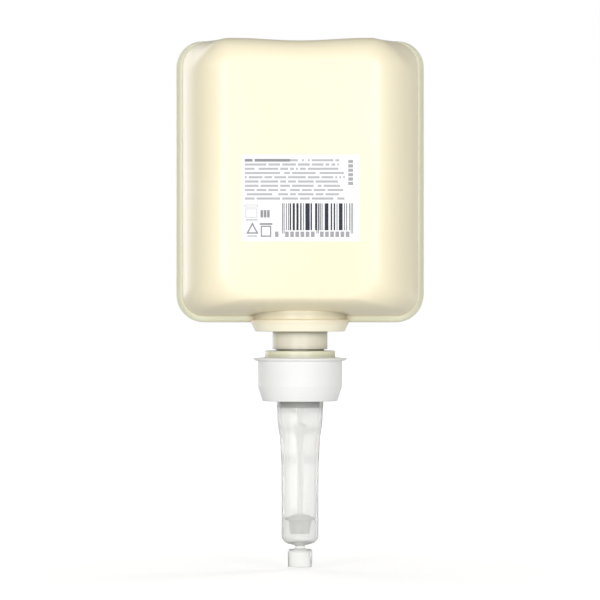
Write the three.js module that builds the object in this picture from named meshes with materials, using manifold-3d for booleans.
// Hand soap refill pack: a one-litre blown bottle that hangs neck down, a collar snapped
// on its neck, and the soft squeeze pump that the collar holds.
// Units are millimetres. +Z is up and -Y points at the viewer, who faces the label.
// The origin is on the neck axis, in the plane of the collar flange's underside.

import * as THREE from 'three';
import { mergeVertices } from 'three/addons/utils/BufferGeometryUtils.js';
import Module from 'manifold-3d';

const wasm = await Module();
wasm.setup();

// Bottle body: a rigid rear half, and a softer front half that folds back into it.
const bottleWidth = 113;
const bottleHeight = 128.25;
const rearDepth = 48;
const frontDepth = 40;
const partingStep = 2.7;
const baseStep = 0.35;
const rimRound = 2.4;
const wallDraft = 5;
const shoulderCorner = 12.8;
const baseCorner = 12;
const openBaseCorner = 16;
const roundPower = 2;
const openCornerPower = 1.25;
const cornerOpeningDepth = 16;
const frontSideInset = 16;
const frontSideReach = 30;
const frontBaseRadius = 8;
const frontShoulderRadius = 3;
const frontShoulderSlope = 12.5;
const rearSideRadius = 14;
const rearBaseRadius = 9;
const rearShoulderRadius = 10;
const rearShoulderSlope = 4;
const facetCorner = 7;

// Base: two long feet with a hollow between them, and the pinched seam in the hollow.
const footSpacing = 60;
const hollowAtFace = 0.6;
const hollowAtSeam = 3;
const seamLength = 62;
const seamWidth = 1.2;
const seamHeight = 0.9;
const seamEndPower = 8;

// Neck: a stepped boss under the shoulder, a waist, a ring that sits on the collar, and
// the snap finish inside the collar.
const bossRadius = 22.2;
const bossFootDraw = 1.6;
const bossRootDraw = 3.7;
const bossDrop = 4.1;
const bossRim = 1;
const bossChamfer = 2.1;
const bossEdge = 0.7;
const waistRadius = 12.65;
const waistHeight = 8.3;
const ringLedge = 0.95;
const ringDraft = 0.25;
const ringHeight = 3.55;
const ringEdge = 0.5;
const finishLength = 12.55;
const snapBead = 0.7;
const snapBeadDepth = 4;
const neckWall = 1.7;
const neckBoreDepth = 22;

// Collar: a snap cap with a thin flange round its mouth and a holed floor.
const flangeReach = 2.4;
const flangeThickness = 1.55;
const flangeTip = 0.75;
const flangeTipLevel = 0.95;
const flangeRimDrop = 0.3;
const collarRadius = 19.25;
const collarWall = 3.05;
const collarDraft = 0.05;
const collarStraight = 11.5;
const collarHeight = 18.4;
const collarFootDraw = 1.85;
const collarEdge = 0.8;
const finishClearance = 0.3;
const lipHeight = 2.2;

// Pump tube: the soft sleeve, clamped by its flange, with a break-off closure cup.
const tubeFlangeThickness = 1.8;
const tubeFlangeClearance = 1;
const tubeWall = 1.2;
const floorClearance = 0.3;
const tubeTipRadius = 8.45;
const tubeStepExcess = 0.11;
const tubeBarrelExcess = 0.45;
const tubeTaperExcess = 0.71;
const tubeKneeExcess = 1.3;
const tubeShoulderExcess = 1.75;
const tubeRootExcess = 2.25;
const tubeRootBand = 3;
const tubeRootStep = 0.28;
const tubeRootLength = 10.6;
const tubeKneeLength = 2.2;
const tubeTaperLength = 5.6;
const tubeUpperBarrel = 9;
const tubeStepLength = 2.5;
const tubeLength = 65.6;
const tubeCornerRadius = 3;
const tubeFloor = 1.5;
const outletRadius = 1;
const breakRadius = 2.1;
const breakFlare = 2.7;
const breakLength = 1.8;
const cupRadius = 5.6;
const cupWall = 0.95;
const cupHeight = 8.2;
const cupRoof = 1.1;

// Regulator: one rigid moulding inside the tube, with an anchor sleeve on three webs, a
// stem, the inlet cone and the outlet valve.
const anchorFlangeSetback = 0.6;
const anchorFlangeThickness = 1.2;
const sleeveClearance = 0.25;
const sleeveWall = 1.1;
const webCount = 3;
const webThickness = 1.1;
const webHeight = 5;
const webTurn = 0.75;
const stemRadius = 1.5;
const inletRadius = 3.1;
const inletDrop = 0.6;
const inletHeight = 7.4;
const inletDome = 0.9;
const outletRise = 11.6;
const outletDiscThickness = 1.1;
const outletDomeRadius = 5.2;
const outletDomeHeight = 1.7;
const outletSkirtRadius = 5.4;
const outletSkirtTipRadius = 4.3;
const outletSkirtHeight = 6.4;

// Label on the flat of the front face.
const labelWidth = 53.2;
const labelHeight = 38.8;
const labelThickness = 0.2;
const labelCorner = 1;
const labelOffsetX = 0.2;
const labelRise = 36.4;

// Levels up the neck axis, from the flange upwards and then downwards.
const ringBottom = flangeThickness;
const ringTop = ringBottom + ringHeight;
const bossBottom = ringTop + waistHeight;
const shoulderLevel = bossBottom + bossDrop;
const baseLevel = shoulderLevel + bottleHeight;
const mouthLevel = flangeThickness - finishLength;
const anchorBottom = mouthLevel - anchorFlangeThickness;
const tubeFlangeBottom = anchorBottom - tubeFlangeThickness;
const tubeBottom = -collarHeight - tubeLength;
const rootBandBottom = -collarHeight - tubeRootBand;
const rootEnd = -collarHeight - tubeRootLength;
const taperEnd = rootEnd - tubeTaperLength;
const upperBarrelEnd = taperEnd - tubeUpperBarrel;

// Radii that follow from the parts they fit.
const collarBore = collarRadius - collarWall;
const flangeRadius = collarRadius + flangeReach;
const finishRadius = collarBore - finishClearance - snapBead;
const ringRadius = finishRadius + ringLedge;
const neckBore = waistRadius - neckWall;
const tubeFlangeRadius = collarBore - tubeFlangeClearance;
const anchorFlangeRadius = tubeFlangeRadius - anchorFlangeSetback;
const tubeRootRadius = tubeTipRadius + tubeRootExcess;
const tubeShoulderRadius = tubeTipRadius + tubeShoulderExcess;
const tubeBarrelRadius = tubeTipRadius + tubeBarrelExcess;
const tubeBore = tubeRootRadius - tubeRootStep - tubeWall;
const barrelBore = tubeTipRadius - tubeWall;

// How finely round forms are divided, and how far a cutting tool runs past its end.
const turnSteps = 48;
const smallTurnSteps = 32;
const cornerSteps = 6;
const rimSteps = 4;
const edgeSteps = 7;
const baseSteps = 12;
const domeSteps = 3;
const cutOverrun = 1;

const degrees = (angle) => THREE.MathUtils.degToRad(angle);
const slopeRise = (slope, run) => Math.tan(degrees(slope)) * run;

function material(color, roughness, metalness = 0) {
  return new THREE.MeshStandardMaterial({ color, roughness, metalness });
}

// Fuses equal vertices and drops triangles of no area, so that a geometry is one skin.
function closedGeometry(geometry) {
  const bare = geometry.clone();
  bare.deleteAttribute('normal');
  bare.deleteAttribute('uv');
  const merged = mergeVertices(bare, 1e-4);
  const index = merged.index.array;
  const kept = [];
  for (let i = 0; i < index.length; i += 3) {
    const [a, b, c] = [index[i], index[i + 1], index[i + 2]];
    if (a !== b && b !== c && c !== a) kept.push(a, b, c);
  }
  if (signedVolume(merged.attributes.position, kept) < 0) kept.reverse();
  merged.setIndex(kept);
  return merged;
}

function signedVolume(position, index) {
  const [a, b, c] = [new THREE.Vector3(), new THREE.Vector3(), new THREE.Vector3()];
  let volume = 0;
  for (let i = 0; i < index.length; i += 3) {
    a.fromBufferAttribute(position, index[i]);
    b.fromBufferAttribute(position, index[i + 1]);
    c.fromBufferAttribute(position, index[i + 2]);
    volume += a.dot(b.cross(c)) / 6;
  }
  return volume;
}

function toSolid(geometry) {
  const closed = closedGeometry(geometry);
  const vertProperties = Float32Array.from(closed.attributes.position.array);
  const triVerts = Uint32Array.from(closed.index.array);
  return new wasm.Manifold(new wasm.Mesh({ numProp: 3, vertProperties, triVerts }));
}

function toGeometry(solid) {
  const mesh = solid.getMesh();
  const geometry = new THREE.BufferGeometry();
  const positions = new Float32Array(mesh.vertProperties);
  geometry.setAttribute('position', new THREE.BufferAttribute(positions, 3));
  geometry.setIndex(new THREE.BufferAttribute(new Uint32Array(mesh.triVerts), 1));
  return geometry;
}

function namedMesh(name, geometry, look) {
  const mesh = new THREE.Mesh(geometry, look);
  mesh.geometry.computeVertexNormals();
  mesh.name = name;
  return mesh;
}

// Turns a profile of [radius, height] points about the Z axis.
function turned(profile, steps = turnSteps) {
  const points = profile.map(([radius, height]) => new THREE.Vector2(radius, height));
  return new THREE.LatheGeometry(points, steps).rotateX(Math.PI / 2);
}

// Points of a quarter round or other arc, as [radius, height] pairs; angles in degrees.
function arcPoints(centreX, centreY, radius, from, to, steps = 4) {
  const points = [];
  for (let i = 0; i <= steps; i += 1) {
    const angle = degrees(from + ((to - from) * i) / steps);
    points.push([centreX + radius * Math.cos(angle), centreY + radius * Math.sin(angle)]);
  }
  return points;
}

// How far a wall has turned in at a depth, where a round edge ends the depth. The edge is
// inset wide and, where its reach differs, part of an ellipse that reach deep.
function edgeInset(depth, fullDepth, inset, reach = inset) {
  const into = Math.max(0, depth - (fullDepth - reach)) / reach;
  return inset * (1 - Math.sqrt(Math.max(0, 1 - into * into)));
}

// Depths at which a half of the bottle gets a section, closer together on its edge.
function sectionDepths(fullDepth, edgeReach, flatDepths) {
  const depths = flatDepths.filter((depth) => depth < fullDepth - edgeReach);
  for (let i = 0; i <= edgeSteps; i += 1) {
    const angle = degrees((90 * i) / edgeSteps);
    depths.push(fullDepth - edgeReach * (1 - Math.sin(angle)));
  }
  return depths;
}

// Height of the base above its hollow at x: none on the feet, all at the middle.
function hollowShare(x) {
  const foot = footSpacing / 2;
  return Math.abs(x) < foot ? (1 + Math.cos((Math.PI * x) / foot)) / 2 : 0;
}

// Points of the base corner: a quarter round that is cut flatter as the power drops.
function baseCornerPoints(centreX, centreZ, reach, power) {
  const bend = roundPower / power;
  return arcPoints(0, 0, 1, 0, 90, cornerSteps).map(([x, z]) => [
    centreX + reach * Math.max(x, 0) ** bend,
    centreZ + reach * Math.max(z, 0) ** bend,
  ]);
}

// Outline of a section through the bottle, anticlockwise in X and Z.
function bottleOutline({ halfWidth, low, high, lowCorner, highCorner, power, hollow }) {
  const lowX = halfWidth - lowCorner;
  const highX = halfWidth - highCorner;
  const right = [
    ...arcPoints(lowX, low + lowCorner, lowCorner, -90, 0, cornerSteps),
    ...baseCornerPoints(highX, high - highCorner, highCorner, power),
  ];
  const base = [];
  for (let i = 1; i < baseSteps; i += 1) {
    const x = highX * (1 - (2 * i) / baseSteps);
    base.push([x, high - hollow * hollowShare(x)]);
  }
  const left = right.map(([x, z]) => [-x, z]).reverse();
  return [...right, ...base, ...left];
}

// Section of the soft front half at a depth in front of the parting plane.
function frontSection(depth) {
  const opening = Math.min(1, depth / cornerOpeningDepth);
  const sideInset = edgeInset(depth, frontDepth, frontSideInset, frontSideReach);
  const baseInset = edgeInset(depth, frontDepth, frontBaseRadius);
  const shoulderInset = edgeInset(depth, frontDepth, frontShoulderRadius);
  const closing = sideInset / frontSideInset;
  const lowCorner = shoulderCorner - partingStep;
  const innerCorner = baseCorner - baseStep;
  const highCorner = innerCorner + (openBaseCorner - innerCorner) * opening;
  return {
    y: -depth,
    halfWidth: bottleWidth / 2 - partingStep - slopeRise(wallDraft, depth) - sideInset,
    low: shoulderLevel + partingStep + slopeRise(frontShoulderSlope, depth) + shoulderInset,
    high: baseLevel - baseStep - baseInset,
    lowCorner: THREE.MathUtils.lerp(lowCorner, facetCorner, closing),
    highCorner: THREE.MathUtils.lerp(highCorner, facetCorner, closing),
    power: THREE.MathUtils.lerp(roundPower, openCornerPower, opening),
    hollow: THREE.MathUtils.lerp(hollowAtSeam, hollowAtFace, depth / frontDepth),
  };
}

// Section of the rigid rear half at a depth behind the parting plane.
function rearSection(depth) {
  const rim = edgeInset(rimRound - Math.min(depth, rimRound), rimRound, rimRound);
  const pastRim = Math.max(0, depth - rimRound);
  const sideInset = edgeInset(depth, rearDepth, rearSideRadius);
  const baseInset = edgeInset(depth, rearDepth, rearBaseRadius);
  const shoulderInset = edgeInset(depth, rearDepth, rearShoulderRadius);
  const closing = sideInset / rearSideRadius;
  const rimShare = baseStep / partingStep;
  return {
    y: depth,
    halfWidth: bottleWidth / 2 - rim - slopeRise(wallDraft, pastRim) - sideInset,
    low: shoulderLevel + rim + slopeRise(rearShoulderSlope, pastRim) + shoulderInset,
    high: baseLevel - rim * rimShare - baseInset,
    lowCorner: THREE.MathUtils.lerp(shoulderCorner - rim, facetCorner, closing),
    highCorner: THREE.MathUtils.lerp(baseCorner - rim * rimShare, facetCorner, closing),
    power: roundPower,
    hollow: THREE.MathUtils.lerp(hollowAtSeam, hollowAtFace, depth / rearDepth),
  };
}

// Skins a row of sections, with a fan over the first and the last.
function loft(sections) {
  const rings = sections.map((section) => bottleOutline(section));
  const count = rings[0].length;
  const positions = [];
  rings.forEach((ring, row) => {
    ring.forEach(([x, z]) => positions.push(x, sections[row].y, z));
  });
  const index = [];
  for (let row = 0; row + 1 < rings.length; row += 1) {
    for (let i = 0; i < count; i += 1) {
      const a = row * count + i;
      const b = row * count + ((i + 1) % count);
      index.push(a, b, a + count, b, b + count, a + count);
    }
  }
  [0, rings.length - 1].forEach((row) => {
    const { y, low, high } = sections[row];
    const middle = positions.length / 3;
    positions.push(0, y, (low + high) / 2);
    for (let i = 0; i < count; i += 1) {
      const a = row * count + i;
      const b = row * count + ((i + 1) % count);
      if (row === 0) index.push(middle, b, a);
      else index.push(middle, a, b);
    }
  });
  const geometry = new THREE.BufferGeometry();
  geometry.setAttribute('position', new THREE.Float32BufferAttribute(positions, 3));
  geometry.setIndex(index);
  return geometry;
}

function bottleBody() {
  const frontFlats = [0, (frontDepth - frontSideReach) / 2];
  const rearFlats = [];
  for (let i = 0; i <= rimSteps; i += 1) {
    rearFlats.push(rimRound * (1 - Math.cos(degrees((90 * i) / rimSteps))));
  }
  const front = sectionDepths(frontDepth, frontSideReach, frontFlats).map(frontSection);
  const rear = sectionDepths(rearDepth, rearSideRadius, rearFlats).map(rearSection);
  return toSolid(loft([...front.reverse(), ...rear]));
}

// Boss, waist, ring and snap finish, turned as one from inside the body to the mouth.
function bottleNeck() {
  const bossFootRadius = bossRadius - bossFootDraw;
  const bossRootRadius = bossRadius - bossRootDraw;
  const rootTop = shoulderLevel + slopeRise(frontShoulderSlope, bossRadius) + partingStep;
  const beadLevel = flangeThickness - snapBeadDepth;
  const ringTopRadius = ringRadius - ringDraft;
  return toSolid(turned([
    [0, rootTop],
    [bossRootRadius, rootTop],
    [bossRootRadius, shoulderLevel + bossRim + bossChamfer],
    [bossRadius, shoulderLevel + bossRim],
    [bossRadius, shoulderLevel],
    ...arcPoints(bossFootRadius - bossEdge, bossBottom + bossEdge, bossEdge, 0, -90, 3),
    [waistRadius, bossBottom],
    [waistRadius, ringTop],
    ...arcPoints(ringTopRadius - ringEdge, ringTop - ringEdge, ringEdge, 90, 0, 2),
    [ringRadius, ringBottom],
    [finishRadius, ringBottom],
    [finishRadius, beadLevel + snapBead],
    [finishRadius + snapBead, beadLevel],
    [finishRadius, beadLevel - snapBead * 2],
    [finishRadius, mouthLevel],
    [0, mouthLevel],
  ]));
}

function neckBoreTool() {
  const top = mouthLevel + neckBoreDepth;
  const dome = neckBore / 2;
  return toSolid(turned([
    [0, mouthLevel - cutOverrun],
    [neckBore, mouthLevel - cutOverrun],
    [neckBore, top - dome],
    ...arcPoints(neckBore - dome, top - dome, dome, 0, 90, 3).slice(1),
    [0, top],
  ], smallTurnSteps));
}

// The ridge that the mould pinches shut, along the parting plane in the base's hollow.
function pinchedSeam() {
  const bottom = baseLevel - hollowAtSeam - seamHeight;
  const shape = new THREE.Shape();
  shape.moveTo(-seamLength / 2, bottom);
  shape.lineTo(seamLength / 2, bottom);
  const steps = baseSteps;
  for (let i = 0; i <= steps; i += 1) {
    const x = seamLength * (0.5 - i / steps);
    const taper = 1 - Math.pow((2 * x) / seamLength, seamEndPower);
    const rise = -hollowAtSeam * hollowShare(x) + seamHeight * taper;
    shape.lineTo(x, baseLevel - baseStep + Math.min(rise, 0));
  }
  const options = { depth: seamWidth, bevelEnabled: false };
  const ridge = new THREE.ExtrudeGeometry(shape, options);
  ridge.rotateX(Math.PI / 2).translate(0, seamWidth / 2, 0);
  return toSolid(ridge);
}

function bottle() {
  const body = bottleBody().add(pinchedSeam()).add(bottleNeck());
  const shape = toGeometry(body.subtract(neckBoreTool()));
  return namedMesh('bottle', shape, material(0xf6edcb, 0.38));
}

// Flat label with rounded corners, lying on the front face.
function backLabel() {
  const [w, h, r] = [labelWidth / 2, labelHeight / 2, labelCorner];
  const shape = new THREE.Shape();
  shape.moveTo(-w + r, -h);
  shape.lineTo(w - r, -h);
  shape.absarc(w - r, -h + r, r, -Math.PI / 2, 0);
  shape.lineTo(w, h - r);
  shape.absarc(w - r, h - r, r, 0, Math.PI / 2);
  shape.lineTo(-w + r, h);
  shape.absarc(-w + r, h - r, r, Math.PI / 2, Math.PI);
  shape.lineTo(-w, -h + r);
  shape.absarc(-w + r, -h + r, r, Math.PI, Math.PI * 1.5);
  const options = { depth: labelThickness, bevelEnabled: false, curveSegments: 4 };
  const sheet = closedGeometry(new THREE.ExtrudeGeometry(shape, options));
  sheet.rotateX(Math.PI / 2);
  const mesh = namedMesh('back_label', sheet, material(0xfbfbfb, 0.55));
  mesh.position.set(labelOffsetX, -frontDepth, shoulderLevel + labelRise + h);
  return mesh;
}

// Snap collar: thin flange, skirt, tapered foot, holed floor, and the lip that catches
// the finish's bead.
function collar() {
  const lip = finishRadius + finishClearance;
  const floorTop = tubeFlangeBottom;
  const hole = tubeRootRadius + floorClearance;
  const collarFootRadius = collarRadius - collarFootDraw;
  const foot = arcPoints(
    collarFootRadius - collarEdge, -collarHeight + collarEdge, collarEdge, 0, -90, 3,
  );
  const profile = [
    [lip, flangeThickness],
    [lip, flangeThickness - lipHeight],
    [collarBore, flangeThickness - lipHeight - (collarBore - lip)],
    [collarBore, floorTop],
    [hole, floorTop],
    [hole, -collarHeight],
    ...foot.reverse(),
    [collarRadius - collarDraft, -collarStraight],
    [collarRadius, 0],
    [flangeRadius - flangeTip, 0],
    [flangeRadius, flangeTipLevel],
    [flangeRadius - flangeTip / 2, flangeThickness - flangeRimDrop],
    [ringRadius + flangeTip, flangeThickness],
    [lip, flangeThickness],
  ];
  const shape = closedGeometry(turned(profile));
  return namedMesh('collar', shape, material(0xfafaf8, 0.28));
}

// Outside of the soft tube from its clamped flange down to the break-off neck.
function tubeOutside() {
  const corner = arcPoints(
    tubeTipRadius - tubeCornerRadius, tubeBottom + tubeCornerRadius, tubeCornerRadius,
    0, -90, 5,
  );
  return [
    [tubeFlangeRadius, anchorBottom],
    [tubeFlangeRadius, tubeFlangeBottom],
    [tubeRootRadius, tubeFlangeBottom],
    [tubeRootRadius, rootBandBottom],
    [tubeRootRadius - tubeRootStep, rootBandBottom],
    [tubeShoulderRadius, rootEnd],
    [tubeTipRadius + tubeKneeExcess, rootEnd - tubeKneeLength],
    [tubeTipRadius + tubeTaperExcess, taperEnd],
    [tubeBarrelRadius, upperBarrelEnd],
    [tubeTipRadius + tubeStepExcess, upperBarrelEnd - tubeStepLength],
    ...corner,
  ];
}

// Break-off neck and hollow closure cup below the tube.
function closureOutside() {
  const neckLevel = tubeBottom - breakLength / 3;
  const cupTop = tubeBottom - breakLength;
  const cupBottom = cupTop - cupHeight;
  return [
    [breakFlare, tubeBottom],
    [breakRadius, neckLevel],
    [breakFlare, cupTop],
    [cupRadius - cupWall / 2, cupTop],
    [cupRadius, cupTop - cupWall / 2],
    [cupRadius, cupBottom],
    [cupRadius - cupWall, cupBottom],
    [cupRadius - cupWall, cupTop - cupRoof],
    [0, cupTop - cupRoof],
  ];
}

// Inside of the tube, from the outlet hole up to the flange.
function tubeInside() {
  const floorLevel = tubeBottom + tubeFloor;
  const innerCorner = tubeCornerRadius - tubeWall;
  const corner = arcPoints(
    barrelBore - innerCorner, floorLevel + innerCorner, innerCorner, -90, 0, 3,
  );
  return [
    [0, tubeBottom + tubeFloor / 3],
    [outletRadius, tubeBottom + tubeFloor / 3],
    [outletRadius, floorLevel],
    ...corner,
    [barrelBore, upperBarrelEnd],
    [tubeBarrelRadius - tubeWall, taperEnd],
    [tubeShoulderRadius - tubeWall, rootEnd],
    [tubeBore, rootBandBottom],
    [tubeBore, anchorBottom],
    [tubeFlangeRadius, anchorBottom],
  ];
}

function pumpTube() {
  const profile = [...tubeOutside(), ...closureOutside(), ...tubeInside()];
  const shape = closedGeometry(turned(profile, smallTurnSteps));
  return namedMesh('pump_tube', shape, material(0xe2e5de, 0.3));
}

// Regulator's round parts: anchor flange and sleeve.
function anchorSleeve() {
  const outer = tubeBore - sleeveClearance;
  const inner = outer - sleeveWall;
  return toSolid(turned([
    [inner, mouthLevel],
    [inner, rootBandBottom],
    [outer, rootBandBottom],
    [outer, anchorBottom],
    [anchorFlangeRadius, anchorBottom],
    [anchorFlangeRadius, mouthLevel],
    [inner, mouthLevel],
  ], smallTurnSteps));
}

// Points down a dome, from where it leaves the stem to its rim.
function domePoints(rimRadius, rimLevel, height) {
  const start = Math.acos(stemRadius / rimRadius);
  const points = [];
  for (let i = 0; i <= domeSteps; i += 1) {
    const angle = start * (1 - i / domeSteps);
    const share = Math.sin(angle) / Math.sin(start);
    points.push([rimRadius * Math.cos(angle), rimLevel + height * share]);
  }
  return points;
}

// Regulator's stem with the inlet cone above and the outlet valve below.
function valveStem() {
  const stemTop = mouthLevel - webHeight / 2;
  const discBottom = tubeBottom + outletRise;
  const discTop = discBottom + outletDiscThickness;
  const discRadius = barrelBore - sleeveClearance;
  const skirtBottom = discBottom - outletSkirtHeight;
  return toSolid(turned([
    [0, stemTop],
    [stemRadius, stemTop],
    ...domePoints(inletRadius, rootEnd - inletDrop, inletDome),
    [stemRadius, rootEnd - inletDrop - inletHeight],
    ...domePoints(outletDomeRadius, discTop, outletDomeHeight),
    [discRadius, discTop],
    [discRadius, discBottom],
    [outletSkirtRadius, discBottom],
    [outletSkirtTipRadius, skirtBottom],
    [0, skirtBottom],
  ], smallTurnSteps));
}

// One web from the anchor sleeve to the stem.
function anchorWeb(turn) {
  const reach = tubeBore - sleeveClearance - sleeveWall / 2;
  const web = new THREE.BoxGeometry(reach, webThickness, webHeight);
  web.translate(reach / 2, 0, mouthLevel - webHeight);
  web.rotateZ(turn);
  return toSolid(web);
}

function regulator() {
  let solid = anchorSleeve().add(valveStem());
  for (let i = 0; i < webCount; i += 1) {
    solid = solid.add(anchorWeb(((i + webTurn) * 2 * Math.PI) / webCount));
  }
  return namedMesh('regulator', toGeometry(solid), material(0xeceee8, 0.35));
}

const refillPack = new THREE.Group();
refillPack.add(bottle(), backLabel(), collar(), pumpTube(), regulator());

export default refillPack;
